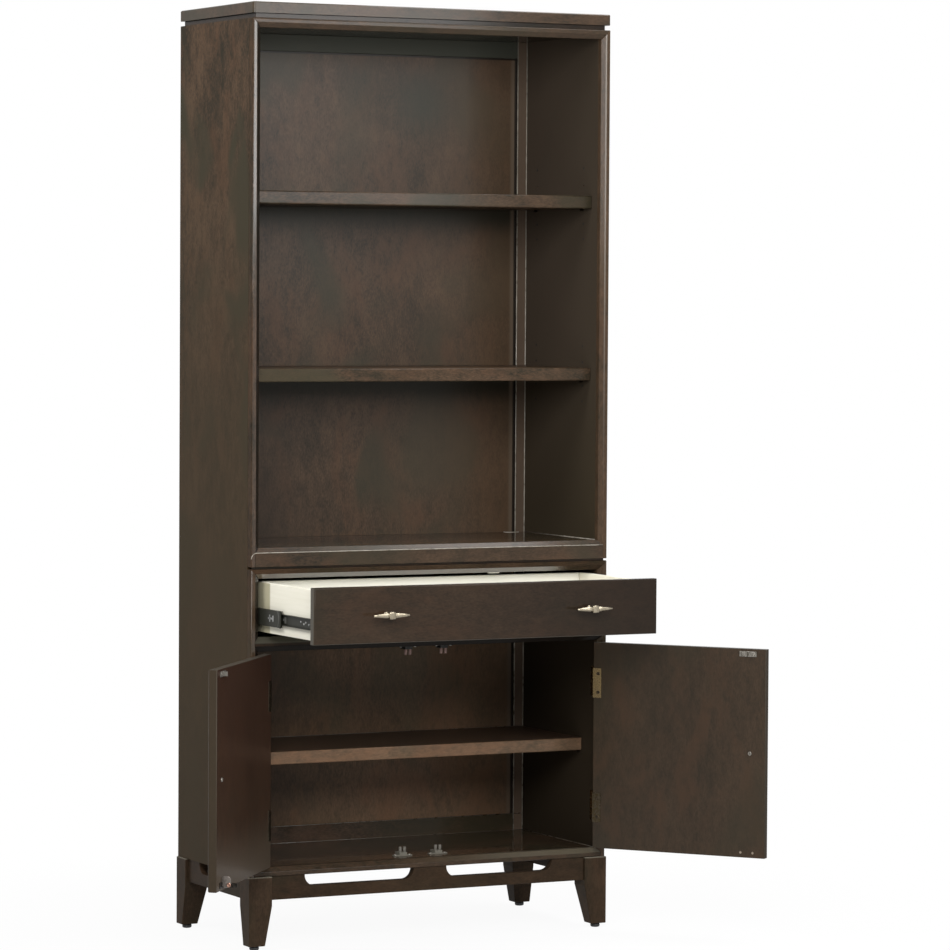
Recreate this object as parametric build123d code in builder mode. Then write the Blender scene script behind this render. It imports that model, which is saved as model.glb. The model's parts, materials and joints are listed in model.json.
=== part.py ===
"""Tall open bookcase over a drawer and a two-door cabinet, on four tapered legs.

Sizes are in millimetres. +Z is up and the front faces -Y. The origin is on the floor, under the middle of
the case. The drawer stands pulled out and both doors stand open. Depths are measured back from the front
plane of the case and turned into Y by back().
"""

import os
from math import cos, radians, sin

from build123d import *

os.makedirs("parts", exist_ok=True)

# Outside of the case
width = 910
depth = 412
height = 2134
edge_ease = 2

# Base: glides, tapered legs and aprons
glide_height = 10
glide_diameter = 22
leg_length = 157
leg_width = 57
leg_depth = 53
leg_stand = 3
foot_width = 40
foot_depth = 34
taper_start = 67
apron_height = 54
apron_thickness = 20
apron_recess = 4
cutout_height = 26
front_stub = 84
side_stub = 66

# Front frames: a flat nose, then a bevel that falls back to the opening
nose_width = 10
nose_radius = 3
bevel_width = 11
bevel_depth = 8
frame_depth = 22
lower_frame_height = 695
door_opening_height = 488
middle_rail_height = 33
groove_height = 5
groove_depth = 6
bottom_rail_face = 25
floor_lip = 7

# Top
top_thickness = 25
top_corner_radius = 5
neck_height = 11
neck_inset = 10

# Boards inside the case
deck_thickness = 21
ceiling_thickness = 12
dust_panel_thickness = 18
shelf_thickness = 30
shelf_radius = 3
shelf_side_gap = 1
shelf_back_gap = 2
shelf_setback = 47
cabinet_shelf_setback = 78
cabinet_shelf_share = 0.455

# Framed back
back_recess = 16
back_thickness = 20
back_stile_width = 27
back_top_rail_height = 39
back_bottom_rail_height = 40
panel_thickness = 6
panel_recess = 8
panel_tongue = 8

# Shelf pins and their holes
pin_diameter = 5
pin_hole_depth = 10
pin_reach = 8
spare_hole_rise = 57
pin_setback = 89
rear_pin_setback = 54

# Drawer
face_recess = 7
face_gap = 3
drawer_front_thickness = 18
drawer_front_radius = 4
box_wall = 12
box_side_gap = 13
box_below = 11
box_above = 9
box_back_gap = 24
box_bottom_rise = 10
box_bottom_thickness = 6
box_groove = 6

# Three-member ball-bearing slides
slide_setback = 34
slide_end_gap = 13
slide_rise = 36
slide_sheet = 1.2
slide_running_gap = 0.3
cabinet_member_height = 45
cabinet_member_depth = 9.5
middle_member_height = 37
middle_member_inset = 2.2
middle_member_depth = 8.8
middle_member_setback = 8
drawer_member_height = 25
drawer_member_depth = 8
ball_row_width = 4.5
ball_row_share = 0.45
slide_overtravel = 15

# Doors and hinges
door_thickness = 20
door_radius = 4
left_door_angle = 130
right_door_angle = 128
leaf_thickness = 1
leaf_running_gap = 0.3
leaf_depth = 34
wrap_width = 21
hinge_height = 69
hinge_inset = 95
knuckle_radius = 4.25
knuckle_clearance = 0.75
door_knuckle_height = 25
pin_radius = 1.5
pin_running_clearance = 0.05
pin_end_height = 1

# Roller catches in the case and their strikes on the doors
upper_catch_setback = 35
lower_catch_setback = 58
catch_flange_length = 46
catch_flange_depth = 12
catch_flange_thickness = 2.5
catch_block_length = 19
catch_block_depth = 26
catch_block_height = 6
roller_diameter = 7
roller_height = 12.5
roller_gap = 4
strike_inset = 44
strike_length = 42
strike_height = 12.5
strike_thickness = 1.2
tongue_thickness = 1.6
tongue_height = 10
tongue_overlap = 3

# Pulls: an eight-sided bar, tapered both ways from a square hub on a square post
pull_length = 88
pull_end_radius = 2.5
pull_middle_radius = 6.2
pull_hub_length = 14
pull_hub_height = 16.5
pull_hub_depth = 13
pull_reach = 28
pull_post_width = 8
drawer_pull_share = 0.28

# Levels and places that follow from these
sides = (("left", -1), ("right", 1))
side_thickness = nose_width + bevel_width
outside = width / 2
inside = outside - side_thickness
nose_edge = outside - nose_width
leg_outside = outside + leg_stand
leg_end = depth / 2 + leg_stand
base_top = glide_height + leg_length
cabinet_floor = base_top + side_thickness
door_opening_top = cabinet_floor + door_opening_height
drawer_opening = door_opening_top + middle_rail_height
lower_frame_top = base_top + lower_frame_height
drawer_opening_top = lower_frame_top - side_thickness
upper_frame_bottom = lower_frame_top + groove_height
upper_frame_top = height - top_thickness - neck_height
upper_floor = upper_frame_bottom + bottom_rail_face + bevel_width + floor_lip
ceiling = upper_frame_top - ceiling_thickness
back_plane = depth - back_recess - back_thickness
panel_plane = back_plane + panel_recess
upper_bay = (ceiling - upper_floor - 2 * shelf_thickness) / 3
middle_shelf_level = upper_floor + upper_bay
upper_shelf_level = middle_shelf_level + shelf_thickness + upper_bay
cabinet_shelf_level = cabinet_floor + cabinet_shelf_share * door_opening_height

drawer_face_width = 2 * (inside - face_gap)
drawer_face_bottom = drawer_opening + face_gap
drawer_face_top = drawer_opening_top - face_gap
box_outside = inside - box_side_gap
box_inside = box_outside - box_wall
box_front = face_recess + drawer_front_thickness
box_back = back_plane - box_back_gap
box_bottom = drawer_opening + box_below
box_top = drawer_opening_top - box_above
slide_length = box_back - slide_end_gap - slide_setback
drawer_out = slide_length - slide_overtravel
slide_level = box_bottom + slide_rise

hinge_gap = 2 * leaf_thickness + leaf_running_gap
pivot_x = inside - hinge_gap / 2
door_width = inside - hinge_gap - face_gap / 2
door_bottom = cabinet_floor + face_gap
door_top = door_opening_top - face_gap
door_inner_face = face_recess + door_thickness
hinge_levels = (door_bottom + hinge_inset, door_top - hinge_inset)
catch_stand = catch_flange_thickness + catch_block_height
catch_middle = catch_stand + roller_height / 2
roller_offset = (roller_gap + roller_diameter) / 2


def back(distance):
    """Y of a point that lies this far behind the front plane of the case."""
    return distance - depth / 2


def finish(builder, name):
    """Label a piece and write it to its own file."""
    builder.part.label = name
    export_step(builder.part, f"parts/{name}.step")


def board(x_range, y_range, z_range, mode=Mode.ADD):
    """A rectangular block between two corners, its depths measured back from the front plane."""
    lengths = [high - low for low, high in (x_range, y_range, z_range)]
    middles = [(high + low) / 2 for low, high in (x_range, y_range, z_range)]
    with Locations((middles[0], back(middles[1]), middles[2])):
        Box(*lengths, mode=mode)


def outline(plane, points):
    """A closed straight-sided face on a plane."""
    with BuildSketch(plane) as face:
        with BuildLine():
            Polyline(*points, close=True)
        make_face()
    return face.sketch


def moulding(plane, face_width):
    """Section of a frame member: rounded outer edge, flat nose, bevel, square back."""
    inner_edge = face_width + bevel_width
    with BuildSketch(plane) as section:
        with BuildLine():
            Polyline(
                (0, frame_depth),
                (0, 0),
                (face_width, 0),
                (inner_edge, bevel_depth),
                (inner_edge, frame_depth),
                close=True,
            )
        make_face()
        fillet(section.vertices().sort_by_distance((0, 0))[0], nose_radius)
    return section.sketch


def stile_outline(sign, bottom, top, bottom_face, crossings):
    """Front outline of a stile: nose to the floor end, bevels mitred into every rail."""
    points = [(sign * nose_edge, bottom), (sign * nose_edge, bottom + bottom_face)]
    points.append((sign * inside, bottom + bottom_face + bevel_width))
    for low, high in crossings:
        points.append((sign * inside, low))
        points.append((sign * nose_edge, low + bevel_width))
        points.append((sign * nose_edge, high - bevel_width))
        points.append((sign * inside, high))
    points.append((sign * inside, top - side_thickness))
    points += [(sign * outside, top), (sign * outside, bottom)]
    return outline(Plane.XZ, points)


def stile_plane(sign, bottom, top):
    """Plane across a stile at mid-height, its first axis pointing from the outer edge inwards."""
    middle = (sign * outside, back(0), (bottom + top) / 2)
    return Plane(origin=middle, x_dir=(-sign, 0, 0), z_dir=(0, 0, -sign))


def rail_plane(level, direction):
    """Plane across a rail at mid-width, its first axis pointing from the outer edge to the opening."""
    return Plane(origin=(0, back(0), level), x_dir=(0, 0, direction), z_dir=(-direction, 0, 0))


def door_plane(angle):
    """Plane on the left hinge pin: first axis along the door to its free edge, second axis into the case."""
    turn = radians(angle)
    return Plane(origin=(-pivot_x, back(0), 0), x_dir=(cos(turn), -sin(turn), 0), z_dir=(0, 0, 1))


def leg_outline(plane, edge, top_width, bottom_width):
    """Outline of a leg: upright along its outer edge, tapered in towards the foot on the other."""
    inward = -1 if edge > 0 else 1
    points = [(edge, glide_height), (edge, base_top), (edge + inward * top_width, base_top)]
    points.append((edge + inward * top_width, base_top - taper_start))
    points.append((edge + inward * bottom_width, glide_height))
    return outline(plane, points)


# Base

with BuildPart() as foot_glides:
    glide_x = leg_outside - foot_width / 2
    glide_y = leg_end - foot_depth / 2
    with BuildSketch(Plane.XY):
        with GridLocations(2 * glide_x, 2 * glide_y, 2, 2):
            Circle(glide_diameter / 2)
    extrude(amount=glide_height)
finish(foot_glides, "foot_glides")

for side, x_sign in sides:
    for end, y_sign in (("front", -1), ("back", 1)):
        with BuildPart() as leg:
            front_view = leg_outline(Plane.XZ, x_sign * leg_outside, leg_width, foot_width)
            side_view = leg_outline(Plane.YZ, y_sign * leg_end, leg_depth, foot_depth)
            extrude(front_view, amount=depth, both=True)
            extrude(side_view, amount=width, both=True, mode=Mode.INTERSECT)
            corner = (x_sign * leg_outside, y_sign * leg_end, base_top)
            fillet(leg.edges().filter_by(Axis.Z).sort_by_distance(corner)[0], edge_ease)
        finish(leg, f"{end}_{side}_leg")

apron_bottom = base_top - apron_height
cutout_bottom = base_top - cutout_height
between_legs = 2 * (leg_outside - leg_width)
front_cutout = (between_legs - 3 * front_stub) / 2

with BuildPart() as front_apron:
    with BuildSketch(Plane.XZ.offset(-back(apron_recess))) as apron_face:
        with Locations((0, (base_top + apron_bottom) / 2)):
            Rectangle(between_legs, apron_height)
        with Locations((0, base_top - cutout_height / 2)):
            with GridLocations(front_cutout + front_stub, 0, 2, 1):
                Rectangle(front_cutout, cutout_height, mode=Mode.SUBTRACT)
        fillet(apron_face.vertices().group_by(Axis.Y)[1], cutout_height - edge_ease)
    extrude(amount=-apron_thickness)
finish(front_apron, "front_apron")

with BuildPart() as back_apron:
    board(
        (-between_legs / 2, between_legs / 2),
        (depth - apron_recess - apron_thickness, depth - apron_recess),
        (apron_bottom, base_top),
    )
finish(back_apron, "back_apron")

side_apron_length = 2 * (leg_end - leg_depth)
for side, x_sign in sides:
    with BuildPart() as side_apron:
        with BuildSketch(Plane.YZ.offset(x_sign * (outside - apron_recess))) as apron_face:
            with Locations((0, (base_top + apron_bottom) / 2)):
                Rectangle(side_apron_length, apron_height)
            with Locations((0, base_top - cutout_height / 2)):
                Rectangle(side_apron_length - 2 * side_stub, cutout_height, mode=Mode.SUBTRACT)
            fillet(apron_face.vertices().group_by(Axis.Y)[1], cutout_height - edge_ease)
        extrude(amount=-x_sign * apron_thickness)
    finish(side_apron, f"{side}_apron")

# Case boards

inner_width = (-inside, inside)
inner_depth = (frame_depth, back_plane)

with BuildPart() as case_bottom:
    board(inner_width, inner_depth, (base_top, cabinet_floor))
finish(case_bottom, "case_bottom")

with BuildPart() as dust_panel:
    board(inner_width, inner_depth, (door_opening_top, door_opening_top + dust_panel_thickness))
finish(dust_panel, "dust_panel")

with BuildPart() as middle_deck:
    board(inner_width, inner_depth, (upper_floor - deck_thickness, upper_floor))
finish(middle_deck, "middle_deck")

with BuildPart() as case_ceiling:
    board(inner_width, (frame_depth, depth), (ceiling, upper_frame_top))
finish(case_ceiling, "case_ceiling")

with BuildPart() as top_neck:
    board(
        (neck_inset - outside, outside - neck_inset),
        (neck_inset, depth),
        (upper_frame_top, upper_frame_top + neck_height),
    )
finish(top_neck, "top_neck")

with BuildPart() as top_board:
    board((-outside, outside), (0, depth), (height - top_thickness, height))
    fillet(top_board.edges().filter_by(Axis.Z).group_by(Axis.Y)[0], top_corner_radius)
    chamfer(top_board.faces().sort_by(Axis.Z)[-1].edges(), edge_ease)
finish(top_board, "top_board")

# Rows of pin holes: the row that carries each shelf, and a spare row above the upper shelf
shelf_levels = (cabinet_shelf_level, middle_shelf_level, upper_shelf_level)
pin_rows = [level - pin_diameter / 2 for level in shelf_levels]
hole_rows = pin_rows + [pin_rows[-1] + spare_hole_rise]
pin_depths = (pin_setback, back_plane - rear_pin_setback)

for side, x_sign in sides:
    inner_face = Plane.YZ.offset(x_sign * inside)
    with BuildPart() as side_panel:
        board(
            tuple(sorted((x_sign * inside, x_sign * outside))),
            (frame_depth, depth),
            (base_top, upper_frame_top),
        )
        with BuildSketch(inner_face):
            with Locations(*[(back(pin), row) for pin in pin_depths for row in hole_rows]):
                Circle(pin_diameter / 2)
        extrude(amount=x_sign * pin_hole_depth, mode=Mode.SUBTRACT)
    finish(side_panel, f"{side}_side_panel")

with BuildPart() as shelf_pins:
    for x_sign in (-1, 1):
        with BuildSketch(Plane.YZ.offset(x_sign * (inside + pin_hole_depth))):
            with Locations(*[(back(pin), row) for pin in pin_depths for row in pin_rows]):
                Circle(pin_diameter / 2)
        extrude(amount=-x_sign * (pin_hole_depth + pin_reach))
finish(shelf_pins, "shelf_pins")

for name, level, setback in (
    ("cabinet_shelf", cabinet_shelf_level, cabinet_shelf_setback),
    ("middle_shelf", middle_shelf_level, shelf_setback),
    ("upper_shelf", upper_shelf_level, shelf_setback),
):
    with BuildPart() as shelf:
        board(
            (shelf_side_gap - inside, inside - shelf_side_gap),
            (setback, back_plane - shelf_back_gap),
            (level, level + shelf_thickness),
        )
        fillet(shelf.faces().sort_by(Axis.Y)[0].edges().filter_by(Axis.X), shelf_radius)
    finish(shelf, name)

# Framed back: two stiles, three rails, and panels held in their grooves

back_inside = inside - back_stile_width
upper_panel_bottom = upper_floor
upper_panel_top = ceiling - back_top_rail_height
lower_panel_bottom = cabinet_floor + back_bottom_rail_height
lower_panel_top = door_opening_top
back_frame = (back_plane, back_plane + back_thickness)
panel_slot = (panel_plane, panel_plane + panel_thickness)
panel_width = (-back_inside - panel_tongue, back_inside + panel_tongue)
upper_panel_height = (upper_panel_bottom - panel_tongue, upper_panel_top + panel_tongue)
lower_panel_height = (lower_panel_bottom - panel_tongue, lower_panel_top + panel_tongue)

for side, x_sign in sides:
    with BuildPart() as back_stile:
        board(tuple(sorted((x_sign * back_inside, x_sign * inside))), back_frame, (base_top, ceiling))
        for panel_height in (lower_panel_height, upper_panel_height):
            board(panel_width, panel_slot, panel_height, mode=Mode.SUBTRACT)
    finish(back_stile, f"back_{side}_stile")

for name, low, high in (
    ("back_bottom_rail", base_top, lower_panel_bottom),
    ("back_middle_rail", lower_panel_top, upper_panel_bottom),
    ("back_top_rail", upper_panel_top, ceiling),
):
    with BuildPart() as back_rail:
        board((-back_inside, back_inside), back_frame, (low, high))
        for panel_height in (lower_panel_height, upper_panel_height):
            board(panel_width, panel_slot, panel_height, mode=Mode.SUBTRACT)
    finish(back_rail, name)

with BuildPart() as upper_back_panel:
    board(panel_width, panel_slot, upper_panel_height)
finish(upper_back_panel, "upper_back_panel")

with BuildPart() as lower_back_panel:
    board(panel_width, panel_slot, lower_panel_height)
finish(lower_back_panel, "lower_back_panel")

# Front frames: every member is its moulding run through, cut to its mitred outline

frames = (
    ("upper", upper_frame_bottom, upper_frame_top, bottom_rail_face, ()),
    ("lower", base_top, lower_frame_top, nose_width, ((door_opening_top, drawer_opening),)),
)
for frame, bottom, top, bottom_face, crossings in frames:
    for side, x_sign in sides:
        with BuildPart() as stile:
            section = moulding(stile_plane(x_sign, bottom, top), nose_width)
            extrude(section, amount=(top - bottom) / 2, both=True)
            extrude(
                stile_outline(x_sign, bottom, top, bottom_face, crossings),
                amount=depth,
                both=True,
                mode=Mode.INTERSECT,
            )
        finish(stile, f"{frame}_{side}_stile")

    with BuildPart() as top_rail:
        extrude(moulding(rail_plane(top, -1), nose_width), amount=outside, both=True)
        inner_top = top - side_thickness
        corners = [(-outside, top), (outside, top), (inside, inner_top), (-inside, inner_top)]
        extrude(outline(Plane.XZ, corners), amount=depth, both=True, mode=Mode.INTERSECT)
    finish(top_rail, f"{frame}_top_rail")

    with BuildPart() as bottom_rail:
        extrude(moulding(rail_plane(bottom, 1), bottom_face), amount=outside, both=True)
        bevel_start = bottom + bottom_face
        half = [(nose_edge, bottom), (nose_edge, bevel_start), (inside, bevel_start + bevel_width)]
        corners = half + [(-x, z) for x, z in reversed(half)]
        extrude(outline(Plane.XZ, corners), amount=depth, both=True, mode=Mode.INTERSECT)
    finish(bottom_rail, f"{frame}_bottom_rail")

with BuildPart() as middle_rail:
    with BuildSketch(rail_plane(door_opening_top, 1)):
        with BuildLine():
            Polyline(
                (0, frame_depth),
                (0, bevel_depth),
                (bevel_width, 0),
                (middle_rail_height - bevel_width, 0),
                (middle_rail_height, bevel_depth),
                (middle_rail_height, frame_depth),
                close=True,
            )
        make_face()
    extrude(amount=outside, both=True)
    half = [
        (inside, door_opening_top),
        (nose_edge, door_opening_top + bevel_width),
        (nose_edge, drawer_opening - bevel_width),
        (inside, drawer_opening),
    ]
    corners = half + [(-x, z) for x, z in reversed(half)]
    extrude(outline(Plane.XZ, corners), amount=depth, both=True, mode=Mode.INTERSECT)
finish(middle_rail, "lower_middle_rail")

with BuildPart() as groove_strip:
    board(
        (groove_depth - outside, outside - groove_depth),
        (groove_depth, frame_depth),
        (lower_frame_top, upper_frame_bottom),
    )
finish(groove_strip, "groove_strip")

# Slides: nested channels; the balls run in rows that are kept with the middle member

with BuildPart() as slide_cabinet_members:
    for x_sign in (-1, 1):
        channel = Plane(
            origin=(x_sign * inside, back(slide_setback), slide_level), x_dir=(-x_sign, 0, 0), z_dir=(0, 1, 0)
        )
        with BuildSketch(channel):
            Rectangle(cabinet_member_depth, cabinet_member_height, align=(Align.MIN, Align.CENTER))
            with Locations((slide_sheet, 0)):
                Rectangle(
                    cabinet_member_depth,
                    cabinet_member_height - 2 * slide_sheet,
                    align=(Align.MIN, Align.CENTER),
                    mode=Mode.SUBTRACT,
                )
        extrude(amount=slide_length)
finish(slide_cabinet_members, "slide_cabinet_members")

middle_length = slide_length - 2 * middle_member_setback
middle_start = slide_setback + middle_member_setback - drawer_out / 2
middle_half = middle_member_height / 2
outer_race = cabinet_member_height / 2 - slide_sheet - slide_running_gap
inner_race = drawer_member_height / 2 + slide_running_gap
ball_row_length = ball_row_share * middle_length
ball_row_place = middle_member_inset + middle_member_depth / 2

with BuildPart() as slide_middle_members:
    for x_sign in (-1, 1):
        channel = Plane(
            origin=(x_sign * inside, back(middle_start), slide_level), x_dir=(-x_sign, 0, 0), z_dir=(0, 1, 0)
        )
        with BuildSketch(channel):
            with Locations((middle_member_inset, 0)):
                Rectangle(middle_member_depth, middle_member_height, align=(Align.MIN, Align.CENTER))
            with Locations((middle_member_inset + slide_sheet, 0)):
                Rectangle(
                    middle_member_depth,
                    middle_member_height - 2 * slide_sheet,
                    align=(Align.MIN, Align.CENTER),
                    mode=Mode.SUBTRACT,
                )
        extrude(amount=middle_length)
        for low, high, start in (
            (middle_half - slide_sheet, outer_race, middle_length - ball_row_length),
            (inner_race, middle_half, 0),
        ):
            with BuildSketch(channel.offset(start)):
                for end in (-1, 1):
                    with Locations((ball_row_place, end * (low + high) / 2)):
                        Rectangle(ball_row_width, high - low)
            extrude(amount=ball_row_length)
finish(slide_middle_members, "slide_middle_members")

with BuildPart() as slide_drawer_members:
    for x_sign in (-1, 1):
        channel = Plane(
            origin=(x_sign * box_outside, back(slide_setback - drawer_out), slide_level),
            x_dir=(x_sign, 0, 0),
            z_dir=(0, 1, 0),
        )
        with BuildSketch(channel):
            Rectangle(drawer_member_depth, drawer_member_height, align=(Align.MIN, Align.CENTER))
            with Locations((slide_sheet, 0)):
                Rectangle(
                    drawer_member_depth,
                    drawer_member_height - 2 * slide_sheet,
                    align=(Align.MIN, Align.CENTER),
                    mode=Mode.SUBTRACT,
                )
        extrude(amount=slide_length)
finish(slide_drawer_members, "slide_drawer_members")

# Drawer, drawn pulled out

drawer_face = face_recess - drawer_out
box_start = box_front - drawer_out
box_end = box_back - drawer_out
bottom_level = box_bottom + box_bottom_rise
bottom_height = (bottom_level, bottom_level + box_bottom_thickness)
bottom_width = (-box_inside - box_groove, box_inside + box_groove)
bottom_depth = (box_start + box_wall - box_groove, box_end)

with BuildPart() as drawer_front:
    board(
        (-drawer_face_width / 2, drawer_face_width / 2),
        (drawer_face, drawer_face + drawer_front_thickness),
        (drawer_face_bottom, drawer_face_top),
    )
    fillet(drawer_front.faces().sort_by(Axis.Y)[0].edges(), drawer_front_radius)
finish(drawer_front, "drawer_front")

for side, x_sign in sides:
    with BuildPart() as box_side:
        board(
            tuple(sorted((x_sign * box_inside, x_sign * box_outside))),
            (box_start, box_end),
            (box_bottom, box_top),
        )
        board(bottom_width, bottom_depth, bottom_height, mode=Mode.SUBTRACT)
    finish(box_side, f"drawer_{side}_side")

with BuildPart() as drawer_box_front:
    board((-box_inside, box_inside), (box_start, box_start + box_wall), (box_bottom, box_top))
    board(bottom_width, bottom_depth, bottom_height, mode=Mode.SUBTRACT)
finish(drawer_box_front, "drawer_box_front")

with BuildPart() as drawer_back:
    board((-box_inside, box_inside), (box_end - box_wall, box_end), (bottom_height[1], box_top))
finish(drawer_back, "drawer_back")

with BuildPart() as drawer_bottom:
    board(bottom_width, bottom_depth, bottom_height)
finish(drawer_bottom, "drawer_bottom")

# Pull, drawn once with its bar along X: the bar's outline is run through at each angle of its sides

pull_side = [(pull_length / 2, pull_end_radius), (pull_hub_length / 2, pull_middle_radius)]
pull_side += [(-x, y) for x, y in reversed(pull_side)]
pull_outline = pull_side + [(x, -y) for x, y in reversed(pull_side)]

with BuildPart() as pull:
    for turn in (0, 45, 90, 135):
        extrude(
            outline(Plane.XY.offset(pull_reach).rotated((turn, 0, 0)), pull_outline),
            amount=pull_hub_height,
            both=True,
            mode=Mode.INTERSECT if turn else Mode.ADD,
        )
    with BuildSketch(Plane.XY.offset(pull_reach - pull_hub_depth / 2)):
        Rectangle(pull_hub_length, pull_hub_height)
    extrude(amount=pull_hub_depth)
    with BuildSketch(Plane.XY):
        Rectangle(pull_post_width, pull_post_width)
    extrude(amount=pull_reach)

drawer_face_middle = (drawer_face_bottom + drawer_face_top) / 2
with BuildPart() as drawer_pulls:
    for x_sign in (-1, 1):
        place = (x_sign * drawer_pull_share * width, back(drawer_face), drawer_face_middle)
        with Locations(Plane(origin=place, x_dir=(1, 0, 0), z_dir=(0, -1, 0))):
            add(pull.part)
finish(drawer_pulls, "drawer_pulls")

# Doors: drawn as a left door on the left pin, the right one mirrored from its own angle

free_edge = hinge_gap / 2 + door_width
leaf_start = knuckle_radius + knuckle_clearance
leaf_low = leaf_running_gap / 2
leaf_high = leaf_low + leaf_thickness
bore_radius = pin_radius + pin_running_clearance
frame_knuckle_height = (hinge_height - door_knuckle_height) / 2 - leaf_running_gap
strike_place = free_edge - strike_inset
upper_strike = (door_opening_top - catch_middle, upper_catch_setback)
lower_strike = (cabinet_floor + catch_middle, lower_catch_setback)
strike_places = {"left": (upper_strike, lower_strike), "right": (upper_strike,)}

for side, x_sign, angle in (("left", -1, left_door_angle), ("right", 1, right_door_angle)):
    leaf_plane = door_plane(angle)
    outward = -leaf_plane.y_dir

    with BuildPart() as door:
        with BuildSketch(leaf_plane.offset(door_bottom)):
            with Locations((hinge_gap / 2, face_recess)):
                Rectangle(door_width, door_thickness, align=(Align.MIN, Align.MIN))
        extrude(amount=door_top - door_bottom)
        fillet(door.faces().sort_by(Axis(leaf_plane.origin, outward))[-1].edges(), door_radius)
        if x_sign > 0:
            mirror(about=Plane.YZ, mode=Mode.REPLACE)
    finish(door, f"{side}_door")

    with BuildPart() as door_leaves:
        for level in hinge_levels:
            with BuildSketch(leaf_plane.offset(level)):
                with BuildLine():
                    Polyline(
                        (leaf_low, leaf_start),
                        (leaf_high, leaf_start),
                        (leaf_high, door_inner_face),
                        (wrap_width, door_inner_face),
                        (wrap_width, door_inner_face + leaf_thickness),
                        (leaf_low, door_inner_face + leaf_thickness),
                        close=True,
                    )
                make_face()
            extrude(amount=hinge_height / 2, both=True)
            with BuildSketch(leaf_plane.offset(level)):
                Circle(knuckle_radius)
                with Locations((leaf_low, pin_radius)):
                    Rectangle(leaf_thickness, leaf_start, align=(Align.MIN, Align.MIN))
                Circle(bore_radius, mode=Mode.SUBTRACT)
            extrude(amount=door_knuckle_height / 2, both=True)
        if x_sign > 0:
            mirror(about=Plane.YZ, mode=Mode.REPLACE)
    finish(door_leaves, f"{side}_door_leaves")

    with BuildPart() as strikes:
        for level, setback in strike_places[side]:
            tongue_length = setback + tongue_overlap - door_inner_face
            with BuildSketch(leaf_plane.offset(level)):
                with Locations((strike_place, door_inner_face)):
                    Rectangle(strike_length, strike_thickness, align=(Align.CENTER, Align.MIN))
            extrude(amount=strike_height / 2, both=True)
            with BuildSketch(leaf_plane.offset(level)):
                with Locations((strike_place, door_inner_face)):
                    Rectangle(tongue_thickness, tongue_length, align=(Align.CENTER, Align.MIN))
            extrude(amount=tongue_height / 2, both=True)
        if x_sign > 0:
            mirror(about=Plane.YZ, mode=Mode.REPLACE)
    finish(strikes, f"{side}_door_strikes")

# Hinge leaves on the case, and the pins that both leaves turn on

shut = door_plane(0)
with BuildPart() as hinge_frame_leaves:
    for level in hinge_levels:
        with BuildSketch(shut.offset(level)):
            with Locations((-leaf_high, leaf_start)):
                Rectangle(leaf_thickness, leaf_depth - leaf_start, align=(Align.MIN, Align.MIN))
        extrude(amount=hinge_height / 2, both=True)
        for start in (level - hinge_height / 2, level + hinge_height / 2 - frame_knuckle_height):
            with BuildSketch(shut.offset(start)):
                Circle(knuckle_radius)
                with Locations((-leaf_high, pin_radius)):
                    Rectangle(leaf_thickness, leaf_start, align=(Align.MIN, Align.MIN))
                Circle(bore_radius, mode=Mode.SUBTRACT)
            extrude(amount=frame_knuckle_height)
    mirror(about=Plane.YZ)
finish(hinge_frame_leaves, "hinge_frame_leaves")

with BuildPart() as hinge_pins:
    for level in hinge_levels:
        with BuildSketch(shut.offset(level)):
            Circle(pin_radius)
        extrude(amount=hinge_height / 2 + pin_end_height, both=True)
    mirror(about=Plane.YZ)
finish(hinge_pins, "hinge_pins")

# Roller catches: two hang from the dust panel, two stand on the cabinet floor

catch_x = face_gap / 2 + strike_inset
catch_planes = [
    Plane(origin=(x_sign * catch_x, back(setback), level), x_dir=(1, 0, 0), z_dir=(0, 0, direction))
    for x_sign in (-1, 1)
    for level, setback, direction in (
        (cabinet_floor, lower_catch_setback, 1),
        (door_opening_top, upper_catch_setback, -1),
    )
]

block_shift = (catch_block_depth - catch_flange_depth) / 2
with BuildPart() as catch_brackets:
    for plane in catch_planes:
        with BuildSketch(plane):
            Rectangle(catch_flange_length, catch_flange_depth)
        extrude(amount=catch_flange_thickness)
        with BuildSketch(plane.offset(catch_flange_thickness)):
            with Locations(plane.to_local_coords(plane.origin + Vector(0, block_shift, 0))):
                Rectangle(catch_block_length, catch_block_depth)
        extrude(amount=catch_block_height)
finish(catch_brackets, "catch_brackets")

with BuildPart() as catch_rollers:
    for plane in catch_planes:
        with BuildSketch(plane.offset(catch_stand)):
            with GridLocations(2 * roller_offset, 0, 2, 1):
                Circle(roller_diameter / 2)
        extrude(amount=roller_height)
finish(catch_rollers, "catch_rollers")
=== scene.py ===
"""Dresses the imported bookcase: stained wood, cream drawer box, metal fittings, floor, light and camera."""

import json
from math import cos, pi, radians, sin

import bpy
import numpy as np
from mathutils import Matrix, Vector


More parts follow.
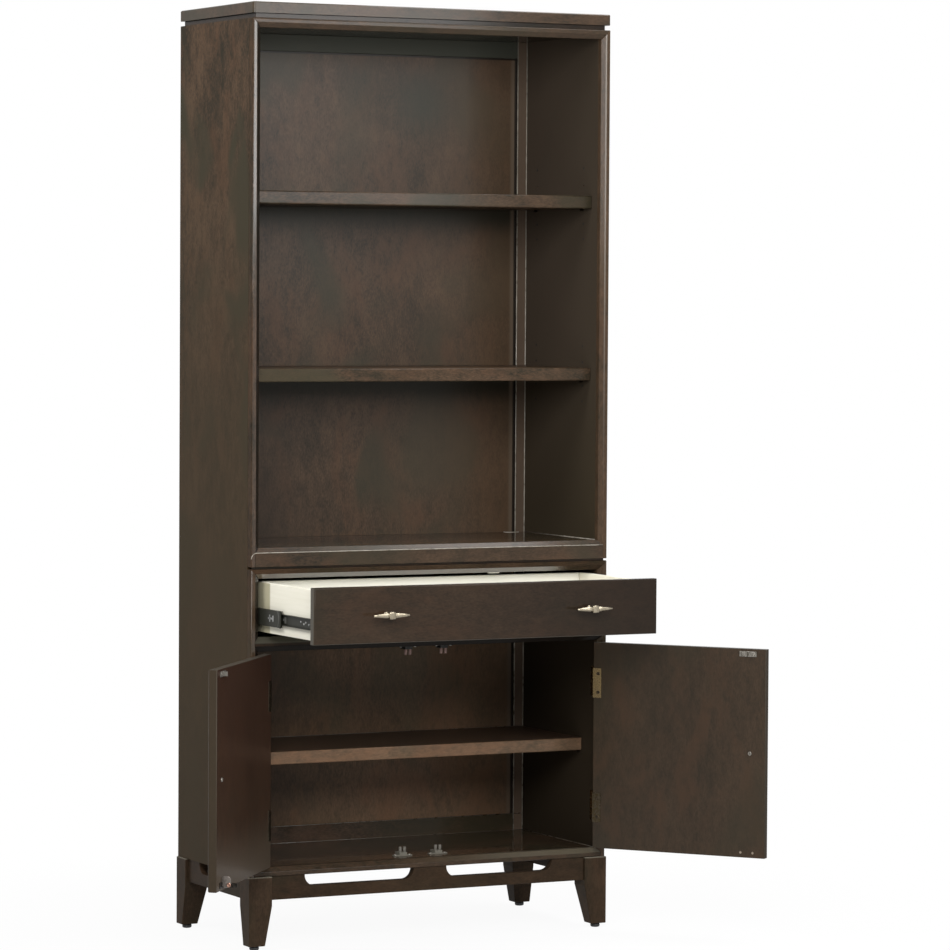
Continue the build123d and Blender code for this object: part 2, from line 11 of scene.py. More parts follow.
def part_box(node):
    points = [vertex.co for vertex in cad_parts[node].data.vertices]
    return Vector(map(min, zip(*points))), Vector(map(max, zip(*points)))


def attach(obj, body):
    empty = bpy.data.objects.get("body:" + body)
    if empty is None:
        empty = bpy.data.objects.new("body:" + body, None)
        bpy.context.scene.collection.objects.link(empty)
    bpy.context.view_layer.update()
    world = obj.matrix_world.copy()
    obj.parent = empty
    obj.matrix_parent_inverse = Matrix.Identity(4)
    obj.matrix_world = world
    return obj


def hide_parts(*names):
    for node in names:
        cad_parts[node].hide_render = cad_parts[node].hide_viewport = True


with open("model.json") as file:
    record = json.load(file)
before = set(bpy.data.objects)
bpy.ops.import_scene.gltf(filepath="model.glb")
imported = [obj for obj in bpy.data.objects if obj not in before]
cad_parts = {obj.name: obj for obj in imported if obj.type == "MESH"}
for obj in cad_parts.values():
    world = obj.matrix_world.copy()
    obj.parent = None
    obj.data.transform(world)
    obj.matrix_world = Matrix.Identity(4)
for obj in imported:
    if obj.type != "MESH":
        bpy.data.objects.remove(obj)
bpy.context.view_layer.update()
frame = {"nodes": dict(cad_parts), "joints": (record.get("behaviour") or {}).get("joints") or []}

# Legs and aprons. Four solid legs, upright outside and tapered inside, carry the case, and aprons join them,
# with long cut-outs in all but the rear one. All of it is maple, stained nearly black-brown and sprayed with
# a clear lacquer. A paler band round the top of each leg is a painted highlight.

mm = 0.001


class Shade:
    """A shader socket with arithmetic: an expression on sockets and numbers adds its Math nodes."""

    def __init__(self, tree, socket=None):
        self.tree = tree
        self.socket = socket

    def node(self, kind, settings=None, inputs=None, output=0):
        """Add a node: its own settings first, then a value or a link for each input."""
        made = self.tree.nodes.new("ShaderNode" + kind)
        for name, value in (settings or {}).items():
            if name == "stops":
                elements = made.color_ramp.elements
                while len(elements) < len(value):
                    elements.new(1.0)
                for element, (place, stop_colour) in zip(elements, value):
                    element.position = place
                    element.color = stop_colour
            else:
                setattr(made, name, value)
        for name, value in (inputs or {}).items():
            if isinstance(value, Shade):
                self.tree.links.new(value.socket, made.inputs[name])
            else:
                made.inputs[name].default_value = value
        return Shade(self.tree, made.outputs[output])

    def maths(self, operation, first, second):
        """A Math node on two sockets or numbers."""
        return self.node("Math", {"operation": operation}, {0: first, 1: second})

    def __add__(self, other):
        return self.maths("ADD", self, other)

    def __radd__(self, other):
        return self.maths("ADD", other, self)

    def __sub__(self, other):
        return self.maths("SUBTRACT", self, other)

    def __rsub__(self, other):
        return self.maths("SUBTRACT", other, self)

    def __mul__(self, other):
        return self.maths("MULTIPLY", self, other)

    def __rmul__(self, other):
        return self.maths("MULTIPLY", other, self)

    def blend(self, first, second):
        """A colour between two, by this factor."""
        return self.node("Mix", {"data_type": "RGBA"}, {0: self, 6: first, 7: second}, 2)

    def ramp(self, *stops):
        """A colour ramp read at this value."""
        return self.node("ValToRGB", {"stops": stops}, {0: self})

    def rise(self, low, high):
        """0 below low, 1 above high, smooth between."""
        settings = {"interpolation_type": "SMOOTHSTEP"}
        return self.node("MapRange", settings, {"Value": self, "From Min": low, "From Max": high})

    def between(self, axis, clear, full):
        """For a place: 0 before one distance along a unit vector, 1 after the other, smooth between."""
        distance = self.node("VectorMath", {"operation": "DOT_PRODUCT"}, {0: self, 1: axis}, "Value")
        return distance.rise(clear, full)


def new_finish(name):
    """A material with one Principled shader, and the start of its shader maths."""
    material = bpy.data.materials.new(name)
    material.use_nodes = True
    return material, Shade(material.node_tree), material.node_tree.nodes["Principled BSDF"]


def feed(shade, principled, name):
    """Link a socket to an input of the Principled shader."""
    shade.tree.links.new(shade.socket, principled.inputs[name])


def colour(red, green, blue, scale=1.0):
    """A linear colour with its alpha, made lighter or darker by a factor."""
    return (scale * red, scale * green, scale * blue, 1.0)


def stained_wood(
    name, grain, seed, tone=1.0, warm=0.5, contrast=1.0, coat=0.3, blur=0.12, edges=(), bare_and_shaded=()
):
    """Stained maple: cloudy stain, blotches, mottle and fine flecks, drawn out along the grain axis.

    Tone lightens it, warm reddens it and contrast clouds it. Coat and blur are the lacquer's weight and
    roughness.
    An edge is (axis, clear, full, colour): along that unit vector the colour changes between two places, for
    a stain or for painted light and shade. It may end in more of (axis, clear, full), which bound it in other
    ways.
    Each side in bare_and_shaded is (axis, clear, coated): along that unit vector the gloss of the lacquer
    sets in.
    """
    material, shade, principled = new_finish(name)
    place = shade.node("TexCoord", output="Object")

    def figure(across, along, detail, twist=0.0):
        scale = [across] * 3
        scale[grain] = along
        shift = (seed * 1.7, seed * 2.3, seed * 3.1)
        moved = shade.node("Mapping", {}, {"Vector": place, "Location": shift, "Scale": scale})
        inputs = {"Vector": moved, "Scale": 1.0, "Detail": detail, "Roughness": 0.6, "Distortion": twist}
        return shade.node("TexNoise", {}, inputs)

    cloud = figure(across=6.0, along=3.6, detail=3.0, twist=0.6)
    blotch = figure(across=17.0, along=9.0, detail=3.0, twist=0.9)
    warmth = figure(across=9.0, along=4.6, detail=3.0, twist=0.8)
    olive = figure(across=4.3, along=3.0, detail=2.0, twist=0.5)
    mottle = figure(across=70.0, along=30.0, detail=4.0, twist=0.4)
    flecks = figure(across=330.0, along=120.0, detail=3.0)
    pores = figure(across=1400.0, along=60.0, detail=1.0)
    broad = (cloud - 0.5) + (blotch - 0.5) * 0.6
    fine = (mottle - 0.5) * 0.9 + (flecks - 0.5) * 1.3
    grey = broad * contrast + fine * (0.15 + 0.85 * contrast) + 0.5
    dark = colour(0.0160, 0.0131, 0.0084, tone)
    middle = colour(0.0400, 0.0253, 0.0155, tone)
    light = colour(0.0640, 0.0400, 0.0240, tone)
    red = colour(0.0590, 0.0308, 0.0170, tone)
    green = colour(0.0270, 0.0236, 0.0142, tone)
    stain = grey.ramp((0.12, dark), (0.5, middle), (0.88, light))
    stain = ((warmth + mottle * 0.3 - 0.15).rise(0.46, 0.72) * warm).blend(stain, red)
    stain = (olive.rise(0.5, 0.66) * contrast * 0.75).blend(stain, green)
    stain = (pores.rise(0.62, 0.75) * 0.35).blend(stain, dark)
    edge_strength = 0.85
    for axis, clear, full, edge_colour, *bounds in edges:
        cover = place.between(axis, clear, full) * edge_strength
        for bound in bounds:
            cover = cover * place.between(*bound)
        stain = cover.blend(stain, edge_colour)
    feed(stain, principled, "Base Color")
    feed(0.42 + (flecks - 0.5) * 0.15, principled, "Roughness")
    height = flecks * 0.5 + pores * 0.5
    bump = shade.node("Bump", {}, {"Strength": 0.08, "Distance": 0.3 * mm, "Height": height})
    feed(bump, principled, "Normal")
    principled.inputs["Specular IOR Level"].default_value = 0.02
    principled.inputs["Coat Weight"].default_value = coat
    principled.inputs["Coat Roughness"].default_value = blur
    gloss = coat
    for side in bare_and_shaded:
        gloss = place.between(*side) * gloss
    if bare_and_shaded:
        feed(gloss, principled, "Coat Weight")
    return material


def ease_edges(piece, ease, segments=2):
    """Join a piece's triangles into whole faces, and round its sharp edges over by ease metres."""
    weld = piece.modifiers.new("Join faces", "WELD")
    weld.merge_threshold = 0.001 * mm
    flat = piece.modifiers.new("Whole faces", "DECIMATE")
    flat.decimate_type = "DISSOLVE"
    flat.angle_limit = radians(1)
    round_over = piece.modifiers.new("Eased edges", "BEVEL")
    round_over.width = ease
    round_over.segments = segments
    round_over.limit_method = "ANGLE"
    round_over.angle_limit = radians(35)
    round_over.harden_normals = True


def dress(node, material, ease=0.0, segments=2):
    """Give a CAD node its finish, and ease its edges."""
    piece = frame["nodes"][node]
    piece.material_slots[0].material = material
    if ease:
        ease_edges(piece, ease, segments)


ALONG_X, ALONG_Y, ALONG_Z = range(3)
ACROSS, BACK, UP = (1, 0, 0), (0, 1, 0), (0, 0, 1)
seeds = iter(range(1, 100))
board_ease = 1.0 * mm

leg_ease, leg_segments = 3 * mm, 3
leg_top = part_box("front_left_leg")[1].z
# A paler band round the top of each leg is a painted highlight on its eased top edge.
leg_top_painted_highlight = (UP, leg_top - 3.2 * mm, leg_top - 1.2 * mm, colour(0.15, 0.135, 0.105))
for node in ("front_left_leg", "front_right_leg", "back_left_leg", "back_right_leg"):
    leg_wood = stained_wood(
        node, ALONG_Z, next(seeds), tone=0.95, warm=0.4, contrast=0.5, coat=0.04, edges=(leg_top_painted_highlight,)
    )
    dress(node, leg_wood, leg_ease, leg_segments)
aprons = (
    ("front_apron", ALONG_X),
    ("back_apron", ALONG_X),
    ("left_apron", ALONG_Y),
    ("right_apron", ALONG_Y),
)
for node, grain in aprons:
    apron_wood = stained_wood(node, grain, next(seeds), tone=0.8, warm=0.35, contrast=0.5, coat=0.04)
    dress(node, apron_wood, board_ease)

# Glides. A black nylon button under each leg, moulded and rounded below, on which the case slides over the
# floor. Its skin is faintly speckled and has a low sheen.

nylon_black, shade, principled = new_finish("glide_nylon")
speckle = shade.node("TexNoise", {}, {"Vector": shade.node("TexCoord", output="Object"), "Scale": 900.0})
nylon_skin = speckle.ramp((0.3, colour(0.006, 0.006, 0.006)), (0.8, colour(0.015, 0.015, 0.014)))
feed(nylon_skin, principled, "Base Color")
feed(0.5 + speckle * 0.15, principled, "Roughness")
dress("foot_glides", nylon_black, ease=4 * mm, segments=4)

# Case boards. Veneered panels, glued face to face: the sides run the full height with upright grain, and the
# bottom, dust panel, deck and ceiling lie between them. The top board sits on a recessed neck, and a strip in
# a groove parts the two front frames; neck and strip are darkened with painted shade.

olive_foot = (UP, 2.25, 0.6, colour(0.0372, 0.0250, 0.0118))
# The sides' inner faces are paler, and painted shade darkens them toward the front, lower down, and most
# inside the lower cabinet.
pale_inside = colour(0.066, 0.051, 0.038)
front_painted_shade = colour(0.041, 0.032, 0.0225)
lower_painted_shade = colour(0.045, 0.035, 0.0215)
cabinet_painted_shade = colour(0.022, 0.016, 0.0105)
side_panels = (
    ("left_side_panel", -1, 1.16, 0.5, 1.4, (olive_foot,)),
    ("right_side_panel", 1, 1.5, 0.15, 0.4, ()),
)
for node, side, tone, warm, contrast, outer_stain in side_panels:
    inside = min(abs(corner.x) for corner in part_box(node))
    inner_face = (ACROSS, side * (inside + 2.5 * mm), side * (inside + 0.5 * mm))
    edges = (
        *outer_stain,
        (*inner_face, pale_inside),
        (*inner_face, front_painted_shade, (BACK, 0.10, -0.25)),
        (*inner_face, lower_painted_shade, (UP, 1.45, 0.90)),
        (*inner_face, cabinet_painted_shade, (UP, 0.80, 0.66)),
    )
    side_wood = stained_wood(
        node, ALONG_Z, next(seeds), tone, warm, contrast, coat=0.01, blur=0.3, edges=edges
    )
    dress(node, side_wood)
for node in ("case_bottom", "dust_panel", "middle_deck", "case_ceiling"):
    dress(node, stained_wood(node, ALONG_X, next(seeds), coat=0.8, blur=0.06), board_ease)
# The neck and the groove strip are darkened, painted shade for the recesses they sit in.
for node in ("top_neck", "groove_strip"):
    dress(node, stained_wood(node, ALONG_X, next(seeds), tone=0.5), board_ease)
board_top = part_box("top_board")[1].z
dull_top = (UP, board_top + 0.15 * mm, board_top - 0.6 * mm)
dress("top_board", stained_wood("top_board", ALONG_X, next(seeds), bare_and_shaded=(dull_top,)))

# Back. Stiles and rails with eased edges, grooved for two thin veneered panels with upright grain. Thin pale
# beads along the stiles and where the boards meet are painted highlights, and so is the pale half-round rim
# round the foot of the right stile.

shadow_gap = colour(0.006, 0.005, 0.004)
pale_rim = colour(0.105, 0.078, 0.055)
lit_right = colour(0.090, 0.058, 0.036)
left_painted_shadow = colour(0.030, 0.019, 0.012)
olive_cloud = colour(0.030, 0.030, 0.021)
shelf_painted_shadow = colour(0.022, 0.021, 0.0145)
panel_left, panel_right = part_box("back_left_stile")[1].x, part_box("back_right_stile")[0].x
shelf_levels = [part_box(node)[0].z for node in ("upper_shelf", "middle_shelf")]
back_panels = (
    ("upper_back_panel", "back_top_rail", 1.3, 1.0, 0.3),
    ("lower_back_panel", "back_middle_rail", 2.7, 0.55, 0.15),
)
# On each panel: painted light to the right, a painted shadow at the lower left and under each shelf, and
# painted shade along the grooves at its edges.
for node, rail_above, tone, contrast, coat in back_panels:
    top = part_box(rail_above)[0].z
    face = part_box(node)[0].y
    on_face = (BACK, face + 2 * mm, face + 0.5 * mm)
    cloud_bounds = ((ACROSS, 0.29, 0.17), (UP, 1.81, 1.93), (UP, 2.06, 1.95))
    shelf_shades = [
        (UP, z - 75 * mm, z - 15 * mm, shelf_painted_shadow, (UP, z + 20 * mm, z + 10 * mm), on_face)
        for z in shelf_levels
    ]
    edges = (
        (ACROSS, -0.05, 0.70, lit_right, on_face),
        (ACROSS, 0.0, -0.40, left_painted_shadow, (UP, 1.50, 0.95), on_face),
        (ACROSS, 0.03, 0.15, olive_cloud, *cloud_bounds, on_face),
        *shelf_shades,
        (ACROSS, panel_right - 17 * mm, panel_right - 9 * mm, pale_rim),
        (ACROSS, panel_right - 4.5 * mm, panel_right - 3 * mm, shadow_gap),
        (ACROSS, panel_left + 4.5 * mm, panel_left + 3 * mm, shadow_gap),
        (UP, top - 5 * mm, top - 3.5 * mm, shadow_gap),
    )
    panel_wood = stained_wood(node, ALONG_Z, next(seeds), tone, 0.6, contrast, coat, blur=0.3, edges=edges)
    dress(node, panel_wood)
greyed = (UP, 0.0, 0.1, colour(0.092, 0.066, 0.048))
# A line of painted shade darkens each stile's inner edge, where it meets the panel.
for node, inner in (("back_left_stile", 1), ("back_right_stile", 0)):
    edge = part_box(node)[inner].x
    stile_edge_painted_shade = (ACROSS, edge + (1 - 2 * inner) * 1.2 * mm, edge, shadow_gap)
    stile_wood = stained_wood(
        node, ALONG_Z, next(seeds), tone=2.4, warm=0.0, contrast=0.5, edges=(greyed, stile_edge_painted_shade)
    )
    dress(node, stile_wood, board_ease)
olive_all_over = (UP, 0.0, 0.1, colour(0.052, 0.054, 0.043))
grey_rail = stained_wood(
    "back_top_rail", ALONG_X, next(seeds), warm=0.0, coat=0.08, blur=0.3, edges=(olive_all_over,)
)
dress("back_top_rail", grey_rail, board_ease)
for node in ("back_bottom_rail", "back_middle_rail"):
    dress(node, stained_wood(node, ALONG_X, next(seeds)), board_ease)


def painted_highlight_finish(name, low, high):
    """A pale, cloudy finish for thin beads that are painted highlights along edges and joints."""
    material, shade, principled = new_finish(name)
    cloud = shade.node("TexNoise", {}, {"Vector": shade.node("TexCoord", output="Object"), "Scale": 60.0})
    feed(cloud.ramp((0.3, low), (0.7, high)), principled, "Base Color")
    feed(0.3 + (cloud - 0.5) * 0.2, principled, "Roughness")
    return material


def surface(name, grids, material, body, smooth=True):
    """A closed mesh from grids of points, each (copies, rows, columns, xyz).

    Quads join each row to the next, all the way round, and one face caps the first row and one the last.
    """
    points, faces, count = [], [], 0
    for grid in grids:
        index = count + np.arange(grid[..., 0].size).reshape(grid.shape[:3])
        near, far = index[:, :-1], index[:, 1:]
        quads = np.stack((near, np.roll(near, -1, 2), np.roll(far, -1, 2), far), -1).reshape(-1, 4)
        faces += quads.tolist() + index[:, 0, ::-1].tolist() + index[:, -1].tolist()
        points.append(grid.reshape(-1, 3))
        count += index.size
    mesh = bpy.data.meshes.new(name)
    mesh.from_pydata(np.concatenate(points), [], faces)
    mesh.polygons.foreach_set("use_smooth", np.full(len(mesh.polygons), smooth))
    mesh.materials.append(material)
    piece = bpy.data.objects.new(name, mesh)
    bpy.context.scene.collection.objects.link(piece)
    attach(piece, body)
    return piece


def bead(path, normal, radius, columns=16):
    """A round bar carried along a path: a ring about each point, square to the path, closed at both ends."""
    path = np.array(path, float)
    tangent = np.gradient(path, axis=0)
    tangent /= np.linalg.norm(tangent, axis=1)[:, None]
    path, tangent = (np.concatenate((rows[:1], rows, rows[-1:])) for rows in (path, tangent))
    turn = (np.arange(columns) * 2 * pi / columns)[:, None]
    ring = np.cos(turn) * np.array(normal, float) + np.sin(turn) * np.cross(tangent, normal)[:, None]
    size = np.full((len(path), 1, 1), radius)
    size[[0, -1]] = 0.01 * radius
    return (path[:, None] + size * ring)[None]


# Two finishes for the painted highlight beads: pale ones on lit edges and dim ones inside the cabinet.
pale_edge = painted_highlight_finish("pale_edge", colour(0.17, 0.15, 0.12), colour(0.34, 0.31, 0.26))
dim_edge = painted_highlight_finish("dim_edge", colour(0.045, 0.038, 0.028), colour(0.12, 0.10, 0.075))

stile_bead, deck_bead, rim_bead, cabinet_bead = 1.4 * mm, 1.2 * mm, 1.3 * mm, 0.8 * mm
grids = []
for node in ("back_left_stile", "back_right_stile"):
    low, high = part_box(node)
    for x in (low.x + stile_bead, high.x - stile_bead):
        grids.append(bead([(x, low.y, low.z), (x, low.y, high.z)], BACK, stile_bead))
surface("back_stile_beads", grids, pale_edge, "case")

deck_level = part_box("middle_deck")[1].z
back_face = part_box("back_right_stile")[0].y
side_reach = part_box("right_side_panel")[0].x
front_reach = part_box("upper_bottom_rail")[1].y
corner_reach = side_reach - 0.3 * mm
grids = []
for x in (-corner_reach, corner_reach):
    grids.append(bead([(x, front_reach, deck_level), (x, back_face, deck_level)], UP, deck_bead))
rim_centre, rim_half_width, rim_depth = 398 * mm, 20 * mm, 14 * mm
sweep = np.linspace(pi, 2 * pi, 25)
rim_x = rim_centre + rim_half_width * np.cos(sweep)
rim_y = back_face + rim_depth * np.sin(sweep)
rim = np.stack((rim_x, rim_y, 0 * sweep + deck_level), 1)
grids.append(bead(rim, UP, rim_bead))
surface("deck_beads", grids, pale_edge, "case")

cabinet_shelf_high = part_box("cabinet_shelf")[1]
cabinet_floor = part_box("case_bottom")[1].z
cabinet_lines = (
    (cabinet_shelf_high.y - cabinet_bead, cabinet_shelf_high.z),
    (back_face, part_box("back_bottom_rail")[1].z),
    (back_face, cabinet_floor),
)
line_reach = side_reach - 1 * mm
grids = []
for y, z in cabinet_lines:
    grids.append(bead([(-line_reach, y, z), (line_reach, y, z)], UP, cabinet_bead))
floor_line = [(corner_reach, front_reach, cabinet_floor), (corner_reach, back_face, cabinet_floor)]
grids.append(bead(floor_line, UP, cabinet_bead))
surface("cabinet_beads", grids, dim_edge, "case")

# Front frames. Solid stiles and rails, moulded with a flat nose and a bevel, mitred and glued where they
# meet. The upper frame's bottom rail has a tall face, and its bevel meets the floor of the case; a pale bead
# along its arris, down to a curl at the left end, is a painted highlight.

nose_width, bevel_width, bevel_depth = 10 * mm, 11 * mm, 8 * mm
outer_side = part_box("upper_left_stile")[0].x
bevel_start = outer_side + nose_width
# Painted shade darkens each left stile's bevel.
bevel_painted_shade = (ACROSS, bevel_start, bevel_start + 1.5 * mm, shadow_gap)
dull_side = (ACROSS, outer_side + 0.3 * mm, outer_side + 2.5 * mm)
for node in ("upper_left_stile", "lower_left_stile"):
    moulded = stained_wood(node, ALONG_Z, next(seeds), coat=0.8, edges=(bevel_painted_shade,), bare_and_shaded=(dull_side,))
    dress(node, moulded, board_ease)
# A pale line along each right stile's arris, part way up, is a painted highlight.
stile_arris_highlight = colour(0.19, 0.165, 0.14)
for node in ("upper_right_stile", "lower_right_stile"):
    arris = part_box(node)[1].x - nose_width
    arris_bounds = ((ACROSS, arris + 1.5 * mm, arris + 0.5 * mm), (UP, 0.9, 1.9))
    painted_arris_highlight = (ACROSS, arris - 2.5 * mm, arris - 1.5 * mm, stile_arris_highlight, *arris_bounds)
    moulded = stained_wood(
        node, ALONG_Z, next(seeds), tone=1.35, warm=0.3, contrast=0.7, coat=0.2, edges=(painted_arris_highlight,)
    )
    dress(node, moulded, board_ease)
rail_middle = sum(corner.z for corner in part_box("lower_middle_rail")) / 2
# On the middle rail, a painted highlight above its middle and painted shade below it.
rail_painted_light_and_shade = (
    (UP, rail_middle + 1 * mm, rail_middle + 4 * mm, colour(0.050, 0.047, 0.035)),
    (UP, rail_middle - 2 * mm, rail_middle - 4 * mm, shadow_gap),
)
# On the bottom rail, a painted sheen along the bevel, growing toward the right.
foot_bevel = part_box("lower_bottom_rail")[1].z - bevel_width
lit_bevel = (UP, foot_bevel - 1 * mm, foot_bevel + 1 * mm)
bevel_painted_sheen = ((ACROSS, -0.15, 0.40, colour(0.085, 0.072, 0.050), lit_bevel),)
rails = (
    ("upper_top_rail", 1.1, 0.25, ()),
    ("lower_middle_rail", 0.5, 0.1, rail_painted_light_and_shade),
    ("lower_bottom_rail", 1.0, 0.2, bevel_painted_sheen),
)
for node, tone, coat, edges in rails:
    moulded = stained_wood(node, ALONG_X, next(seeds), tone, contrast=0.7, coat=coat, edges=edges)
    dress(node, moulded, board_ease)
bevel_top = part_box("lower_top_rail")[0].z + bevel_width
glossy_bevel = (UP, bevel_top + 0.5 * mm, bevel_top - 1.5 * mm)
dull_end = (ACROSS, 0.36, 0.30)
over_drawer = stained_wood(
    "lower_top_rail", ALONG_X, next(seeds), tone=0.9, contrast=0.7, coat=1.0, bare_and_shaded=(glossy_bevel, dull_end)
)
over_drawer.node_tree.nodes["Principled BSDF"].inputs["Coat IOR"].default_value = 2.2
dress("lower_top_rail", over_drawer, board_ease)


def rail_grid(low, high, face, half_length):
    """A rail's section carried along X: a tall face, then a bevel up to the floor.

    The ends are mitred: each point's reach is the half length, less its height above the bevel's foot.
    """
    arris = low.z + face
    top = arris + bevel_width
    section = np.array((
        (high.y, low.z),
        (low.y, low.z),
        (low.y, arris),
        (low.y + bevel_depth, top),
        (high.y, top),
    ))
    reach = half_length - np.clip(section[:, 1] - arris, 0, None)
    return np.array([np.column_stack((side * reach, section)) for side in (1, -1)])[None]


rail_low, rail_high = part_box("upper_bottom_rail")
rail_face = deck_level - bevel_width - rail_low.z
rail_wood = stained_wood("upper_bottom_rail", ALONG_X, next(seeds), tone=1.15, contrast=0.8, coat=0.32)
rail_shape = rail_grid(rail_low, rail_high, rail_face, -bevel_start)
rail_piece = surface("upper_rail_moulding", [rail_shape], rail_wood, "case", smooth=False)
ease_edges(rail_piece, board_ease)
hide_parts("upper_bottom_rail")

# The pale bead along the rail's arris, with its curl at the left end, is a painted highlight.
arris_level = rail_low.z + rail_face
curl_radius, arris_bead = 13.5 * mm, 0.9 * mm
curl = np.linspace(pi / 2, pi, 12)
curl_x = bevel_start + 4 * mm + curl_radius * np.cos(curl)
curl_z = arris_level - curl_radius + curl_radius * np.sin(curl)
run_x = np.linspace(-bevel_start - 1 * mm, bevel_start + 6 * mm, 40)
line_x = np.concatenate((run_x, curl_x))
line_z = np.concatenate((0 * run_x + arris_level, curl_z))
line = np.stack((line_x, 0 * line_x + rail_low.y + 0.5 * mm, line_z), 1)
surface("upper_rail_edge", [bead(line, BACK, arris_bead)], pale_edge, "case")

# Shelves. Thick boards with solid, rounded front edges, resting on bronzed steel pins. Spare pin holes, in
# rows above and below two of them, front and back, in both sides, are low dark discs: painted shade.

shelf_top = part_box("cabinet_shelf")[1].z
# The cabinet shelf's top face is darkened with painted shade.
shelf_top_painted_shade = (UP, shelf_top - 1.2 * mm, shelf_top - 0.4 * mm, colour(0.034, 0.021, 0.0145))
shelves = (
    ("upper_shelf", 1.1, 1.0, ()),
    ("middle_shelf", 1.5, 1.0, ()),
    ("cabinet_shelf", 2.6, 0.55, (shelf_top_painted_shade,)),
)
for node, tone, contrast, edges in shelves:
    shelf_wood = stained_wood(node, ALONG_X, next(seeds), tone, contrast=contrast, coat=0.2, edges=edges)
    dress(node, shelf_wood, board_ease)


def metal(name, low, high, roughness, metallic=1.0, scale=150.0):
    """Metal or enamel with a faintly cloudy colour and sheen."""
    material, shade, principled = new_finish(name)
    place = shade.node("TexCoord", output="Object")
    cloud = shade.node("TexNoise", {}, {"Vector": place, "Scale": scale, "Detail": 4.0})
    feed(cloud.ramp((0.3, low), (0.7, high)), principled, "Base Color")
    feed(roughness + (cloud - 0.5) * 0.2, principled, "Roughness")
    principled.inputs["Metallic"].default_value = metallic
    return material


def turned(profile, centres, axis, columns=32):
    """Surfaces of revolution: points (radius, height), outermost first, turned about an axis.

    Each is its centre, plus the radius times a ring square to the axis, plus the height along the axis.
    """
    axis = np.array(axis, float)
    side = np.cross(axis, (0.0, 0.0, 1.0)) if abs(axis[2]) < 0.9 else np.array((1.0, 0.0, 0.0))
    side /= np.linalg.norm(side)
    turn = np.arange(columns) * 2 * pi / columns
    ring = np.cos(turn)[:, None] * side + np.sin(turn)[:, None] * np.cross(axis, side)
    radius, height = np.array(profile, float).T[:, :, None, None]
    return np.array(centres, float)[:, None, None] + radius * ring + height * axis


pin_bronze = metal("pin_bronze", colour(0.02, 0.016, 0.012), colour(0.05, 0.04, 0.03), roughness=0.45)
dress("shelf_pins", pin_bronze)

# Each spare pin hole is a low dark disc whose dark is painted shade.
hole_dark = metal(
    "hole_dark", colour(0.002, 0.002, 0.001), colour(0.005, 0.004, 0.003), roughness=0.8, metallic=0.0
)
hole_profile = np.array(((3.0, 0.02), (2.6, 0.15), (2.3, 0.06), (0.01, 0.03))) * mm
hole_columns = 16
pin_low, pin_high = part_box("shelf_pins")
pin_radius = 2.5 * mm
hole_rows = (pin_low.y + pin_radius, pin_high.y - pin_radius)
upper_under, middle_under = shelf_levels
hole_levels = [upper_under + rise * mm for rise in (95, -35, -70)]
hole_levels += [middle_under + rise * mm for rise in (42, 80, -14, -50)]
hole_grids = []
for side in (-1, 1):
    centres = [(side * side_reach, y, z) for y in hole_rows for z in hole_levels]
    hole_grids.append(turned(hole_profile, centres, (-side, 0, 0), hole_columns))
surface("spare_pin_holes", hole_grids, hole_dark, "case")

# Slides. Black enamelled steel channels in three lengths on each side of the drawer. The middle one ends in
# a nylon bumper and carries a bright release lever; screws hold the inner one to the box.


def screw_heads(centres, axis, radius, rise):
    """Cross-head screws: a low dome on a polar grid, less a cross of two bars that fades to the rim."""
    columns = 40
    radii = radius * np.array((1.0, 1.0, 0.93, 0.8, 0.65, 0.5, 0.38, 0.26, 0.14, 0.01))
    heights = rise * np.array((-0.1, 0.25, 0.6, 0.82, 0.92, 0.97, 0.99, 1.0, 1.0, 1.0))
    grid = turned(np.stack((radii, heights), 1), centres, axis, columns)
    turn = np.arange(columns) * 2 * pi / columns
    across = radii[:, None] * np.stack((np.cos(turn), np.sin(turn)))[:, None, :] / radius
    bars = np.exp(-((across / 0.16) ** 4)).max(0) * (radii[:, None] < 0.6 * radius)
    return grid - (0.8 * rise * bars)[:, :, None] * np.array(axis, float)


def pads(centres, first, second, half_first, half_second, rise, squareness=6.0, columns=40):
    """Low cushions: a superellipse outline in the plane of two axes that rises, rounds over and closes."""
    first, second = np.array(first, float), np.array(second, float)
    turn = np.arange(columns) * 2 * pi / columns
    power = 2 / squareness
    near = half_first * np.sign(np.cos(turn)) * np.abs(np.cos(turn)) ** power
    far = half_second * np.sign(np.sin(turn)) * np.abs(np.sin(turn)) ** power
    outline = near[:, None] * first + far[:, None] * second
    spread = np.array((1.0, 1.0, 0.97, 0.9, 0.002))[:, None, None]
    height = rise * np.array((0.0, 0.6, 0.9, 1.0, 1.0))[:, None, None]
    return np.array(centres, float)[:, None, None] + spread * outline + height * np.cross(first, second)


def side_pad(side, centre, half_depth, half_height, rise):
    """One such cushion that rises outwards from a side: on the left its two axes change places."""
    if side > 0:
        return pads([centre], BACK, UP, half_depth, half_height, rise)
    return pads([centre], UP, BACK, half_height, half_depth, rise)


slide_black = metal(
    "slide_enamel", colour(0.014, 0.014, 0.010), colour(0.024, 0.024, 0.018), roughness=0.45, metallic=0.0
)
slide_black.node_tree.nodes["Principled BSDF"].inputs["Specular IOR Level"].default_value = 0.15
rib_grey = metal(
    "rib_enamel", colour(0.04, 0.04, 0.034), colour(0.075, 0.075, 0.066), roughness=0.4, metallic=0.0
)
lever_steel = metal("lever_zinc", colour(0.22, 0.225, 0.22), colour(0.42, 0.42, 0.41), roughness=0.4)
for node in ("slide_cabinet_members", "slide_middle_members", "slide_drawer_members"):
    dress(node, slide_black, ease=0.4 * mm)

middle_low, middle_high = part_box("slide_middle_members")
member_low, member_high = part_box("slide_drawer_members")
slide_level = (middle_low.z + middle_high.z) / 2
web_depth = 6.8 * mm
